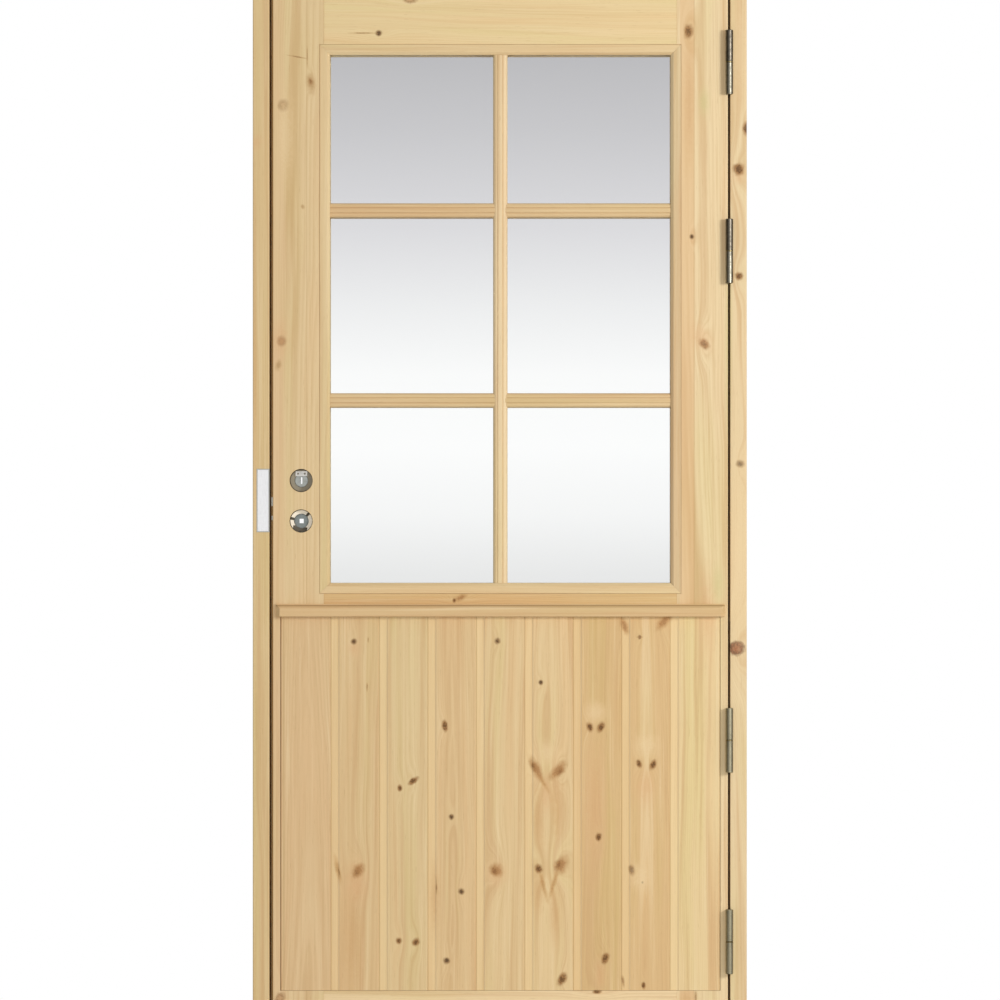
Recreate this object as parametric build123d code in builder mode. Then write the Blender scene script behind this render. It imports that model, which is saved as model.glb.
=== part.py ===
"""Pine exterior door in its frame: boarded below, six lights above, hung to open outwards.

X runs across the opening, Y into the house, Z up. The origin is the middle of the sill's
underside, halfway through the depth of the frame. All sizes are in millimetres.
"""

import os
from math import copysign

from build123d import *

# Frame
frame_width = 890.0
frame_height = 2090.0
frame_depth = 92.0
jamb_face = 30.0
head_face = 30.0
sill_face = 14.0
stop_height = 12.0
stop_depth = 28.0
stop_play = 0.2
edge_round = 2.0
sill_fall = 3.0
sill_nose = 4.0

# Leaf and the gaps round it
leaf_thickness = 60.0
lock_gap = 6.0
hinge_gap = 4.0
head_gap = 3.0
foot_gap = 3.0
stile_width = 92.0
bottom_rail_width = 170.0
middle_rail_width = 116.0
top_rail_width = 191.0
joint_ease = 0.6

# Boards, strip and core
panel_lip = 13.5
panel_foot_lap = 26.0
panel_head_lap = 86.0
board_thickness = 15.0
end_board_width = 90.45
board_count = 9
board_fit = 0.5
board_joint = 0.2
seam_ease = 1.2
sunk_width = 13.5
sunk_depth = 1.6
sunk_slope = 2.2
end_ease = 2.0
tongue_depth = 6.0
tongue_thickness = 5.0
tongue_play = 0.2
strip_lap = 11.0
strip_height = 22.6
strip_depth = 14.0
strip_flat = 15.5
strip_slope = 9.0
strip_inset = 6.0
strip_end_bevel = 7.0
strip_nose = 1.0

# Glazing
sight_bottom = 895.0
stile_rebate = 8.0
glazing_bead = 19.0
glazing_fit = 0.2
pane_thickness = 4.0
pane_space = 16.0
pane_clearance = 4.0
tape_thickness = 2.0
tape_width = 10.0
tape_setback = 2.0
spacer_width = 9.0
spacer_inset = 3.0
bead_bevel_across = 5.0
bead_bevel_deep = 4.0
bead_outer_ease = 1.0
mitre_play = 0.1
block_length = 60.0
block_spread = 220.0

# Glazing bars
bar_width = 26.0
upright_depth = 15.0
cross_depth = 13.5
bar_shoulder = 7.0
bar_flat = 8.0
bar_quirk = 1.2
bar_quirk_drop = 1.0
bar_centre_rise = 1.0
cope_clearance = 0.1
upper_light = 267.0

# Dowels in the stile and rail joints
dowel_radius = 8.0
dowel_length = 120.0
dowel_play = 0.1
dowel_end_play = 1.0
dowel_setback = 34.0

# Lift-off hinges
lower_hinge_rises = [233.0, 595.5]
upper_hinge_drops = [564.0, 224.0]
hinge_length = 116.0
knuckle_radius = 6.8
hinge_reach = 9.0
plate_thickness = 2.5
plate_depth = 32.0
plate_fit = 0.15
pin_radius = 4.0
pin_play = 0.05
pin_in_frame = 30.0
pin_in_leaf = 40.0
washer_thickness = 1.6
hinge_play = 0.2
knuckle_rings = [3.4, 6.8, 10.2]
ring_width = 0.9
ring_depth = 0.6
knuckle_ease = 0.8
plate_screw_spread = 40.0
plate_screw_setback = 18.0

# Countersunk wood screws
screw_head = 4.4
screw_shank = 2.0
screw_length = 22.0
screw_sink = 2.0
screw_play = 0.15
corner_screw_length = 70.0
corner_screw_setbacks = [26.0, 78.0]

# Fixing holes through the jambs
fixing_radius = 5.0
fixing_setback = 32.0
lower_fixing_rises = [380.0, 830.0]
upper_fixing_drops = [840.0, 390.0]

# Weather strip
seal_gap = 4.0
seal_width = 8.0
seal_setback = 1.5
seal_clearance = 0.3

# Lock
backset = 51.0
lock_rise = 168.0
follower_drop = 37.0
driver_rise = 36.0
face_hole_radius = 21.0
case_length = 165.0
case_depth = 75.0
case_thickness = 15.0
case_wall = 1.5
mortise_play = 0.5
forend_length = 235.0
forend_width = 20.0
forend_thickness = 3.0
forend_corner = 2.5
forend_play = 0.2
bolt_thickness = 11.0
bolt_play = 0.3
bolt_ease = 1.0
latch_drop = 2.0
latch_tall = 16.0
latch_nose = 3.5
latch_body = 70.0
latch_bevel = 13.0
latch_flat = 3.0
latch_tail = 4.0
latch_tail_drop = 13.0
latch_throw = 9.5
dead_bolt_tall = 30.0
dead_bolt_body = 36.0
dead_bolt_setback = 0.2
dead_bolt_throw = 20.0
trigger_drop = 31.5
trigger_tall = 8.0
trigger_nose = 3.5
trigger_body = 24.0
hub_radius = 12.5
driver_radius = 11.5
hub_play = 0.1
hub_proud = 0.5
face_inset = 0.9
face_rise = 1.4
spindle_size = 8.0
slot_width = 3.0
slot_length = 12.0
arm_reach = 21.0
arm_width = 6.0
arm_lean = 20.0

# Guides and plates round the two turning hubs
guide_radius = 19.6
guide_gap = 0.8
handle_guide_rise = 10.0
cylinder_guide_rise = 4.0
guide_notch = 5.0
guide_mouth = 26.0
driver_plate_width = 21.0
driver_plate_tall = 9.0
driver_plate_offset = 12.5
driver_plate_thick = 2.0
driver_plate_hole = 1.8
driver_plate_spread = 6.1

# Strike plate
strike_length = 114.0
strike_face = 23.0
strike_return = 42.0
strike_thickness = 2.0
strike_fit = 0.15
strike_clearance = 1.0
pocket_play = 3.2
strike_screw_drops = [40.0, -13.5]

# Positions worked out from the sizes above
front = -frame_depth / 2
back = frame_depth / 2
side = frame_width / 2
rebate_side = side - jamb_face
stop_side = rebate_side - stop_height
stop_front = back - stop_depth
head_bottom = frame_height - head_face
sill_step = sill_face + stop_height
leaf_left = -rebate_side + lock_gap
leaf_right = rebate_side - hinge_gap
leaf_bottom = sill_face + foot_gap
leaf_top = head_bottom - head_gap
leaf_back = front + leaf_thickness
leaf_centre = (leaf_left + leaf_right) / 2
leaf_middle = front + leaf_thickness / 2
rail_left = leaf_left + stile_width
rail_right = leaf_right - stile_width
light_half = (rail_right - rail_left) / 2 + stile_rebate
sight_width = 2 * (light_half - glazing_bead)
light_bottom = sight_bottom - glazing_bead
light_top = leaf_top - top_rail_width
sight_top = light_top - glazing_bead
bottom_rail_top = leaf_bottom + bottom_rail_width
middle_rail_bottom = light_bottom - middle_rail_width
panel_bottom = bottom_rail_top - panel_foot_lap
panel_top = middle_rail_bottom + panel_head_lap
strip_bottom = panel_top - strip_lap
upper_bar_height = sight_top - upper_light - bar_width / 2
lower_bar_height = (sight_bottom + upper_bar_height - bar_width / 2) / 2
glass_half_depth = pane_space / 2 + pane_thickness
outer_glass = leaf_middle - glass_half_depth
inner_glass = leaf_middle + glass_half_depth
core_half = leaf_thickness / 2 - board_thickness
hinge_x = rebate_side - hinge_gap / 2
hinge_y = front - hinge_reach
hinge_heights = [leaf_bottom + rise for rise in lower_hinge_rises]
hinge_heights += [leaf_top - drop for drop in upper_hinge_drops]
fixing_heights = lower_fixing_rises + [frame_height - drop for drop in upper_fixing_drops]
lock_x = leaf_left + backset
case_front = leaf_left + forend_thickness
lock_height = light_bottom + lock_rise
follower_height = lock_height - follower_drop
driver_height = lock_height + driver_rise
latch_height = lock_height - latch_drop
trigger_height = lock_height - trigger_drop
thrown_latch = leaf_left - latch_nose - latch_throw
thrown_dead_bolt = leaf_left + dead_bolt_setback - dead_bolt_throw
pocket_floor = min(thrown_latch, thrown_dead_bolt) - pocket_play

os.makedirs("parts", exist_ok=True)


def write(piece, name):
    """Label a finished piece and write it under its own name."""
    piece.part.label = name
    export_step(piece.part, f"parts/{name}.step")


def block(low, high, mode=Mode.ADD):
    """A box between two corners."""
    size = [b - a for a, b in zip(low, high)]
    with Locations(tuple(low)):
        Box(*size, align=(Align.MIN, Align.MIN, Align.MIN), mode=mode)


def rod(start, direction, radius, length, mode=Mode.ADD):
    """A round bar or hole that starts at a point and runs in a direction."""
    with Locations(Plane(origin=start, z_dir=direction)):
        Cylinder(radius, length, align=(Align.CENTER, Align.CENTER, Align.MIN), mode=mode)


def screw(head, direction, length=screw_length):
    """A countersunk screw whose head lies just under the surface it is driven into."""
    with Locations(Plane(origin=head, z_dir=direction)):
        with Locations((0, 0, screw_play)):
            Cone(screw_head, screw_shank, screw_sink, align=(Align.CENTER, Align.CENTER, Align.MIN))
        with Locations((0, 0, screw_play + screw_sink)):
            Cylinder(screw_shank, length - screw_sink, align=(Align.CENTER, Align.CENTER, Align.MIN))


def screw_hole(head, direction, length=screw_length):
    """The countersunk hole that such a screw sits in."""
    deep = length + 2 * screw_play
    rod(head, direction, screw_shank + screw_play, deep, Mode.SUBTRACT)
    with Locations(Plane(origin=head, z_dir=direction)):
        Cone(
            screw_head + 2 * screw_play,
            screw_shank + screw_play,
            screw_sink + screw_play,
            align=(Align.CENTER, Align.CENTER, Align.MIN),
            mode=Mode.SUBTRACT,
        )


def hinge_screw_heights(height):
    """The three screw heights of one hinge plate."""
    return [height - plate_screw_spread, height, height + plate_screw_spread]


# Frame: two jambs, a head and a stepped sill, with the stops that the leaf closes against
def jamb_section(hand):
    """Plan section of a jamb, on the lock side for -1 and the hinge side for +1."""
    with BuildSketch() as section:
        with Locations((hand * (side + rebate_side) / 2, 0)):
            Rectangle(jamb_face, frame_depth)
        fillet(section.vertices().group_by(Axis.Y)[0], edge_round)
    return section.sketch


def cut_jamb_holes(hand):
    """Fixing holes and the corner screws' holes, drilled through a jamb."""
    for height in fixing_heights:
        start = (hand * side, front + fixing_setback, height)
        rod(start, (-hand, 0, 0), fixing_radius, jamb_face, Mode.SUBTRACT)
    for setback, height in corner_screw_places():
        screw_hole((hand * side, front + setback, height), (-hand, 0, 0), corner_screw_length)


def corner_screw_places():
    """Setback from the frame's face and height of the screws into the head and the sill."""
    head_middle = frame_height - head_face / 2
    places = [(setback, head_middle) for setback in corner_screw_setbacks]
    sill_heights = ((sill_face - sill_fall) / 2, sill_step / 2)
    return places + list(zip(corner_screw_setbacks, sill_heights))


with BuildPart() as hinge_jamb:
    extrude(jamb_section(1), amount=frame_height)
    cut_jamb_holes(1)
    for height in hinge_heights:
        half = hinge_length / 2 + plate_fit
        block(
            (rebate_side, front, height - half),
            (rebate_side + plate_thickness + plate_fit, front + plate_depth + plate_fit, height + half),
            Mode.SUBTRACT,
        )
        for screw_height in hinge_screw_heights(height):
            rod(
                (rebate_side, front + plate_screw_setback, screw_height),
                (1, 0, 0),
                screw_shank + screw_play,
                screw_length + 2 * screw_play,
                Mode.SUBTRACT,
            )
write(hinge_jamb, "hinge_jamb")

strike_low = lock_height - strike_length / 2
strike_high = lock_height + strike_length / 2
bolt_half = bolt_thickness / 2 + strike_clearance
latch_opening = latch_tall / 2 + strike_clearance
dead_bolt_opening = dead_bolt_tall / 2 + strike_clearance
strike_screws = [lock_height - drop for drop in strike_screw_drops]

with BuildPart() as lock_jamb:
    extrude(jamb_section(-1), amount=frame_height)
    cut_jamb_holes(-1)
    block(
        (-rebate_side - strike_face - strike_fit, front, strike_low - strike_fit),
        (-rebate_side, front + strike_thickness + strike_fit, strike_high + strike_fit),
        Mode.SUBTRACT,
    )
    block(
        (-rebate_side - strike_thickness - strike_fit, front, strike_low - strike_fit),
        (-rebate_side, front + strike_return + strike_fit, strike_high + strike_fit),
        Mode.SUBTRACT,
    )
    for height, half in ((latch_height, latch_opening), (driver_height, dead_bolt_opening)):
        block(
            (pocket_floor, leaf_middle - bolt_half, height - half),
            (-rebate_side, leaf_middle + bolt_half, height + half),
            Mode.SUBTRACT,
        )
    for height in strike_screws:
        rod(
            (-rebate_side, leaf_middle, height),
            (-1, 0, 0),
            screw_shank + screw_play,
            screw_length + 2 * screw_play,
            Mode.SUBTRACT,
        )
write(lock_jamb, "lock_jamb")

with BuildPart() as frame_head:
    block((-rebate_side, front, head_bottom), (rebate_side, back, frame_height))
    fillet(frame_head.edges().filter_by(Axis.X).group_by(Axis.Y)[0], edge_round)
    for hand in (-1, 1):
        for setback, height in corner_screw_places()[:2]:
            rod(
                (hand * rebate_side, front + setback, height),
                (-hand, 0, 0),
                screw_shank + screw_play,
                corner_screw_length - jamb_face + 2 * screw_play,
                Mode.SUBTRACT,
            )
write(frame_head, "frame_head")

with BuildPart() as threshold:
    with BuildSketch(Plane.YZ.offset(-rebate_side)):
        with BuildLine():
            Polyline(
                (front, 0),
                (back, 0),
                (back, sill_step),
                (stop_front, sill_step),
                (stop_front, sill_face),
                (front + sill_nose, sill_face - sill_fall),
                (front, sill_face - sill_fall - sill_nose),
                close=True,
            )
        make_face()
    extrude(amount=2 * rebate_side)
    for hand in (-1, 1):
        for setback, height in corner_screw_places()[2:]:
            rod(
                (hand * rebate_side, front + setback, height),
                (-hand, 0, 0),
                screw_shank + screw_play,
                corner_screw_length - jamb_face + 2 * screw_play,
                Mode.SUBTRACT,
            )
write(threshold, "threshold")

with BuildPart() as frame_stops:
    for hand in (-1, 1):
        near, far = sorted((hand * stop_side, hand * rebate_side))
        block((near, stop_front, sill_step), (far, back, head_bottom))
    block(
        (-stop_side + stop_play, stop_front, head_bottom - stop_height),
        (stop_side - stop_play, back, head_bottom),
    )
write(frame_stops, "frame_stops")

seal_side = rebate_side - seal_setback
seal_low = sill_face + seal_setback
seal_high = head_bottom - seal_setback
with BuildPart() as frame_seal:
    seal_back_plane = Plane.XZ.offset(-stop_front)
    with BuildSketch(seal_back_plane):
        with Locations((0, (seal_low + seal_high) / 2)):
            Rectangle(2 * seal_side, seal_high - seal_low)
            Rectangle(
                2 * (seal_side - seal_width),
                seal_high - seal_low - 2 * seal_width,
                mode=Mode.SUBTRACT,
            )
    extrude(amount=seal_gap - seal_clearance)
write(frame_seal, "frame_seal")


# Hinges: the leaf's half carries the socket, the frame's half carries the pin
def hinge_half(height, hand):
    """One half of a hinge: the leaf's above the split for +1, the frame's below it for -1."""
    plate_x = leaf_right if hand > 0 else rebate_side
    inner_x = plate_x - hand * plate_thickness
    low_x, high_x = sorted((plate_x, inner_x))
    split_height = height + hand * (washer_thickness / 2 + (hinge_play if hand > 0 else 0))
    tip_height = height + hand * hinge_length / 2
    low_z, high_z = sorted((split_height, tip_height))
    with BuildPart() as half:
        rod((hinge_x, hinge_y, low_z), (0, 0, 1), knuckle_radius, high_z - low_z)
        chamfer(half.edges().filter_by(GeomType.CIRCLE), knuckle_ease)
        for rise in knuckle_rings:
            with BuildSketch(Plane.XY.offset(split_height + hand * rise - ring_width / 2)) as ring:
                with Locations((hinge_x, hinge_y)):
                    Circle(knuckle_radius + ring_depth)
                    Circle(knuckle_radius - ring_depth, mode=Mode.SUBTRACT)
            extrude(ring.sketch, amount=ring_width, mode=Mode.SUBTRACT)
        block((low_x, hinge_y, low_z), (high_x, front, high_z))
        plate_half = hinge_length / 2
        block((low_x, front, height - plate_half), (high_x, front + plate_depth, height + plate_half))
        pin_reach = pin_in_leaf if hand > 0 else pin_in_frame
        rod(
            (hinge_x, hinge_y, height),
            (0, 0, hand),
            pin_radius + (2 * pin_play if hand > 0 else pin_play),
            pin_reach + 2 * pin_play,
            Mode.SUBTRACT,
        )
        for screw_height in hinge_screw_heights(height):
            screw_hole((plate_x, front + plate_screw_setback, screw_height), (-hand, 0, 0))
    return half


for number, height in enumerate(hinge_heights, 1):
    write(hinge_half(height, 1), f"hinge_{number}_leaf_half")
    write(hinge_half(height, -1), f"hinge_{number}_frame_half")

with BuildPart() as hinge_pins:
    for height in hinge_heights:
        rod((hinge_x, hinge_y, height - pin_in_frame), (0, 0, 1), pin_radius, pin_in_frame + pin_in_leaf)
write(hinge_pins, "hinge_pins")

with BuildPart() as hinge_washers:
    for height in hinge_heights:
        start = (hinge_x, hinge_y, height - washer_thickness / 2)
        rod(start, (0, 0, 1), knuckle_radius, washer_thickness)
        rod(start, (0, 0, 1), pin_radius + pin_play, washer_thickness, Mode.SUBTRACT)
write(hinge_washers, "hinge_washers")

with BuildPart() as frame_screws:
    for height in hinge_heights:
        for screw_height in hinge_screw_heights(height):
            screw((rebate_side, front + plate_screw_setback, screw_height), (1, 0, 0))
    for height in strike_screws:
        screw((-rebate_side, leaf_middle, height), (-1, 0, 0))
    for hand in (-1, 1):
        for setback, height in corner_screw_places():
            screw((hand * side, front + setback, height), (-hand, 0, 0), corner_screw_length)
write(frame_screws, "frame_screws")

with BuildPart() as strike_plate:
    block(
        (-rebate_side - strike_face, front, strike_low),
        (-rebate_side, front + strike_thickness, strike_high),
    )
    block(
        (-rebate_side - strike_thickness, front, strike_low),
        (-rebate_side, front + strike_return, strike_high),
    )
    for height, half in ((latch_height, latch_opening), (driver_height, dead_bolt_opening)):
        block(
            (-rebate_side - strike_thickness, leaf_middle - bolt_half, height - half),
            (-rebate_side, leaf_middle + bolt_half, height + half),
            Mode.SUBTRACT,
        )
    for height in strike_screws:
        screw_hole((-rebate_side, leaf_middle, height), (-1, 0, 0))
write(strike_plate, "strike_plate")


# Leaf framing: two stiles and three rails, rebated on both faces for the boards
def stile_section(hand):
    """Plan section of a stile, on the lock side for -1 and the hinge side for +1."""
    edge = leaf_right if hand > 0 else leaf_left
    with BuildSketch(Plane.XY.offset(leaf_bottom)) as section:
        with Locations((edge - hand * stile_width / 2, leaf_middle)):
            Rectangle(stile_width, leaf_thickness)
        fillet(section.vertices().group_by(Axis.X)[-1 if hand > 0 else 0], edge_round)
    return section.sketch


def cut_board_rebates(low_x, high_x, low_z, high_z):
    """Take the boards' thickness off both faces of a stile or a rail."""
    for face, floor in ((front, leaf_middle - core_half), (leaf_back, leaf_middle + core_half)):
        near, far = sorted((face, floor))
        block((low_x, near, low_z), (high_x, far, high_z), Mode.SUBTRACT)


def dowel_heights():
    """The two dowel heights of each rail, from the bottom rail up."""
    rails = (
        (leaf_bottom, bottom_rail_top),
        (middle_rail_bottom, light_bottom),
        (light_top, leaf_top),
    )
    return [height for low, high in rails for height in (low + dowel_setback, high - dowel_setback)]


def cut_dowel_holes(joint, heights):
    """Dowel holes across the joint between a stile and its rails."""
    for height in heights:
        start = (joint - dowel_length / 2 - dowel_end_play, leaf_middle, height)
        rod(start, (1, 0, 0), dowel_radius + dowel_play, dowel_length + 2 * dowel_end_play, Mode.SUBTRACT)


with BuildPart() as hinge_stile:
    extrude(stile_section(1), amount=leaf_top - leaf_bottom)
    cut_board_rebates(rail_right, leaf_right - panel_lip, panel_bottom, panel_top)
    block(
        (rail_right, front, light_bottom),
        (leaf_centre + light_half, leaf_back, light_top),
        Mode.SUBTRACT,
    )
    cut_dowel_holes(rail_right, dowel_heights())
    for height in hinge_heights:
        half = hinge_length / 2 + plate_fit
        block(
            (leaf_right - plate_thickness - plate_fit, front, height - half),
            (leaf_right, front + plate_depth + plate_fit, height + half),
            Mode.SUBTRACT,
        )
        for screw_height in hinge_screw_heights(height):
            screw_hole((leaf_right, front + plate_screw_setback, screw_height), (-1, 0, 0))
write(hinge_stile, "hinge_stile")

forend_low = lock_height - forend_length / 2
forend_high = lock_height + forend_length / 2
case_low = lock_height - case_length / 2
case_high = lock_height + case_length / 2
case_back = case_front + case_depth
forend_screws = [forend_low + forend_width / 2, forend_high - forend_width / 2]

with BuildPart() as lock_stile:
    extrude(stile_section(-1), amount=leaf_top - leaf_bottom)
    cut_board_rebates(leaf_left + panel_lip, rail_left, panel_bottom, panel_top)
    block(
        (leaf_centre - light_half, front, light_bottom),
        (rail_left, leaf_back, light_top),
        Mode.SUBTRACT,
    )
    cut_dowel_holes(rail_left, dowel_heights())
    half = forend_width / 2 + forend_play
    block(
        (leaf_left, leaf_middle - half, forend_low - forend_play),
        (case_front, leaf_middle + half, forend_high + forend_play),
        Mode.SUBTRACT,
    )
    half = case_thickness / 2 + mortise_play
    block(
        (leaf_left, leaf_middle - half, case_low - mortise_play),
        (case_back + mortise_play, leaf_middle + half, case_high + mortise_play),
        Mode.SUBTRACT,
    )
    for height in (follower_height, driver_height):
        rod((lock_x, front, height), (0, 1, 0), face_hole_radius, leaf_thickness, Mode.SUBTRACT)
    for height in forend_screws:
        rod(
            (leaf_left, leaf_middle, height),
            (1, 0, 0),
            screw_shank + screw_play,
            screw_length + 2 * screw_play,
            Mode.SUBTRACT,
        )
write(lock_stile, "lock_stile")


def ease_rail_ends(rail):
    """A fine chamfer on both faces of a rail where it meets the stiles."""
    ends = rail.edges().filter_by(Axis.Z).group_by(Axis.X)
    chamfer(ends[0] + ends[-1], joint_ease)


with BuildPart() as top_rail:
    block((rail_left, front, light_top), (rail_right, leaf_back, leaf_top))
    fillet(top_rail.edges().filter_by(Axis.X).group_by(Axis.Z)[-1], edge_round)
    ease_rail_ends(top_rail)
    cut_dowel_holes(rail_left, dowel_heights()[4:])
    cut_dowel_holes(rail_right, dowel_heights()[4:])
write(top_rail, "top_rail")

with BuildPart() as middle_rail:
    block((rail_left, front, middle_rail_bottom), (rail_right, leaf_back, light_bottom))
    ease_rail_ends(middle_rail)
    cut_board_rebates(rail_left, rail_right, middle_rail_bottom, panel_top)
    cut_dowel_holes(rail_left, dowel_heights()[2:4])
    cut_dowel_holes(rail_right, dowel_heights()[2:4])
write(middle_rail, "middle_rail")

with BuildPart() as bottom_rail:
    block((rail_left, front, leaf_bottom), (rail_right, leaf_back, bottom_rail_top))
    fillet(bottom_rail.edges().filter_by(Axis.X).group_by(Axis.Z)[0], edge_round)
    ease_rail_ends(bottom_rail)
    cut_board_rebates(rail_left, rail_right, panel_bottom, bottom_rail_top)
    cut_dowel_holes(rail_left, dowel_heights()[:2])
    cut_dowel_holes(rail_right, dowel_heights()[:2])
write(bottom_rail, "bottom_rail")

with BuildPart() as rail_dowels:
    for joint in (rail_left, rail_right):
        for height in dowel_heights():
            start = (joint - dowel_length / 2, leaf_middle, height)
            rod(start, (1, 0, 0), dowel_radius, dowel_length)
write(rail_dowels, "rail_dowels")

with BuildPart() as insulation:
    block(
        (rail_left, leaf_middle - core_half, bottom_rail_top),
        (rail_right, leaf_middle + core_half, middle_rail_bottom),
    )
write(insulation, "insulation")


# Boards: each has a sunk strip on its left and a tongue on its right
board_left = leaf_left + panel_lip + board_fit
board_right = leaf_right - panel_lip - board_fit
board_pitch = (board_right - board_left - 2 * end_board_width) / (board_count - 2)
inner_seams = [board_left + end_board_width + k * board_pitch for k in range(board_count - 1)]
seams = [board_left, *inner_seams, board_right]


def board_outline(number, face, inward):
    """Plan outline of a board, counted from the left, whose face looks away from inward."""
    left = seams[number] + board_joint / 2
    right = seams[number + 1] - board_joint / 2
    first = number == 0
    last = number == board_count - 1
    floor = face + inward * board_thickness
    middle = face + inward * (board_thickness + sunk_depth) / 2
    tongue = tongue_thickness / 2
    groove = tongue + tongue_play
    outline = []
    if first:
        outline += [(left, floor), (left, face + inward * end_ease), (left + end_ease, face)]
    else:
        outline += [
            (left, floor),
            (left, middle + inward * groove),
            (left + tongue_depth + tongue_play, middle + inward * groove),
            (left + tongue_depth + tongue_play, middle - inward * groove),
            (left, middle - inward * groove),
            (left, face + inward * sunk_depth),
            (left + sunk_width, face + inward * sunk_depth),
            (left + sunk_width + sunk_slope, face),
        ]
    if last:
        outline += [(right - end_ease, face), (right, face + inward * end_ease), (right, floor)]
    else:
        outline += [
            (right - seam_ease, face),
            (right, face + inward * seam_ease),
            (right, middle - inward * tongue),
            (right + tongue_depth, middle - inward * tongue),
            (right + tongue_depth, middle + inward * tongue),
            (right, middle + inward * tongue),
            (right, floor),
        ]
    return outline


def add_board(number, face, inward):
    """One board standing on the bottom rail's lip and ending under the cover strip."""
    with BuildSketch(Plane.XY.offset(panel_bottom + board_fit)) as section:
        with BuildLine():
            Polyline(*board_outline(number, face, inward), close=True)
        make_face()
    extrude(section.sketch, amount=panel_top - panel_bottom - 2 * board_fit)


for number in range(board_count):
    with BuildPart() as outer_board:
        add_board(number, front, 1)
    write(outer_board, f"outer_board_{number + 1}")

with BuildPart() as inner_boards:
    for number in range(board_count):
        add_board(number, leaf_back, -1)
write(inner_boards, "inner_boards")


# Cover strips over the boards' top ends, one on each face
def cover_strip(face, outward, start, end):
    """A weathered moulding planted on the face, its ends bevelled like its top."""
    with BuildPart() as strip:
        with BuildSketch(Plane.YZ.offset(start)):
            with BuildLine():
                Polyline(
                    (face, strip_bottom),
                    (face + outward * (strip_depth - strip_nose), strip_bottom),
                    (face + outward * strip_depth, strip_bottom + strip_nose),
                    (face + outward * strip_depth, strip_bottom + strip_flat),
                    (face + outward * (strip_depth - strip_slope), strip_bottom + strip_height),
                    (face, strip_bottom + strip_height),
                    close=True,
                )
            make_face()
        extrude(amount=end - start)
        for tip, inward in ((start, 1), (end, -1)):
            with BuildSketch(Plane.XY.offset(strip_bottom)):
                with BuildLine():
                    Polyline(
                        (tip, face + outward * (strip_depth - strip_slope)),
                        (tip, face + outward * strip_depth),
                        (tip + inward * strip_end_bevel, face + outward * strip_depth),
                        close=True,
                    )
                make_face()
            extrude(amount=strip_height, mode=Mode.SUBTRACT)
    return strip


outer_strip = cover_strip(front, -1, leaf_left + strip_inset, leaf_right - strip_inset)
write(outer_strip, "outer_cover_strip")
inner_strip = cover_strip(leaf_back, 1, -stop_side + strip_inset, stop_side - strip_inset)
write(inner_strip, "inner_cover_strip")


# Sealed glass unit, its tapes and its blocks
def add_frame(plane, half_width, low, high, width, depth):
    """A flat rectangular ring of one width, given its outside size."""
    with BuildSketch(plane) as ring:
        with Locations((leaf_centre, (low + high) / 2)):
            Rectangle(2 * half_width, high - low)
            Rectangle(2 * (half_width - width), high - low - 2 * width, mode=Mode.SUBTRACT)
    extrude(ring.sketch, amount=depth)


pane_half = light_half - pane_clearance
pane_low = light_bottom + pane_clearance
pane_high = light_top - pane_clearance

with BuildPart() as outer_pane:
    block(
        (leaf_centre - pane_half, outer_glass, pane_low),
        (leaf_centre + pane_half, outer_glass + pane_thickness, pane_high),
    )
write(outer_pane, "outer_pane")

with BuildPart() as inner_pane:
    block(
        (leaf_centre - pane_half, inner_glass - pane_thickness, pane_low),
        (leaf_centre + pane_half, inner_glass, pane_high),
    )
write(inner_pane, "inner_pane")

with BuildPart() as glass_spacer:
    add_frame(
        Plane.XZ.offset(-inner_glass + pane_thickness),
        pane_half - spacer_inset,
        pane_low + spacer_inset,
        pane_high - spacer_inset,
        spacer_width,
        pane_space,
    )
write(glass_spacer, "glass_spacer")

with BuildPart() as setting_blocks:
    for place in (-block_spread, block_spread):
        block(
            (leaf_centre + place - block_length / 2, outer_glass, light_bottom),
            (leaf_centre + place + block_length / 2, inner_glass, pane_low),
        )
write(setting_blocks, "setting_blocks")

tape_half = sight_width / 2 + tape_setback + tape_width
tape_low = sight_bottom - tape_setback - tape_width
tape_high = sight_top + tape_setback + tape_width
with BuildPart() as glazing_tape:
    for plane_y in (outer_glass, inner_glass + tape_thickness):
        add_frame(Plane.XZ.offset(-plane_y), tape_half, tape_low, tape_high, tape_width, tape_thickness)
write(glazing_tape, "glazing_tape")


# Glazing beads: one section, mitred at the four corners
def bead_sides():
    """Each bead's name, the corner it starts from, the way it runs and the way in to the glass."""
    left = leaf_centre - light_half
    right = leaf_centre + light_half
    return {
        "top": ((left, light_top), (1, 0), (0, -1)),
        "right": ((right, light_top), (0, -1), (-1, 0)),
        "bottom": ((right, light_bottom), (-1, 0), (0, 1)),
        "left": ((left, light_bottom), (0, 1), (1, 0)),
    }


def add_bead(name, face, seat):
    """One mitred bead whose shown face is at face and whose glass side is at seat."""
    corner, along, inward = bead_sides()[name]
    toward_glass = copysign(1, seat - face)
    reach = 2 * light_half if along[0] else light_top - light_bottom
    start = Plane(
        origin=(corner[0], 0, corner[1]),
        x_dir=(inward[0], 0, inward[1]),
        z_dir=(along[0], 0, along[1]),
    )
    with BuildPart(mode=Mode.PRIVATE) as bead:
        with BuildSketch(start):
            with BuildLine():
                Polyline(
                    (glazing_fit, seat),
                    (glazing_fit, face + toward_glass * bead_outer_ease),
                    (glazing_fit + bead_outer_ease, face),
                    (glazing_bead - bead_bevel_across, face),
                    (glazing_bead, face + toward_glass * bead_bevel_deep),
                    (glazing_bead, seat),
                    close=True,
                )
            make_face()
        extrude(amount=reach)
        for end, way in ((mitre_play, 1), (reach - mitre_play, -1)):
            mitre = Plane(
                origin=(corner[0] + along[0] * end, 0, corner[1] + along[1] * end),
                z_dir=(way * along[0] - inward[0], 0, way * along[1] - inward[1]),
            )
            split(bisect_by=mitre, keep=Keep.TOP)
    return bead.part


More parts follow.
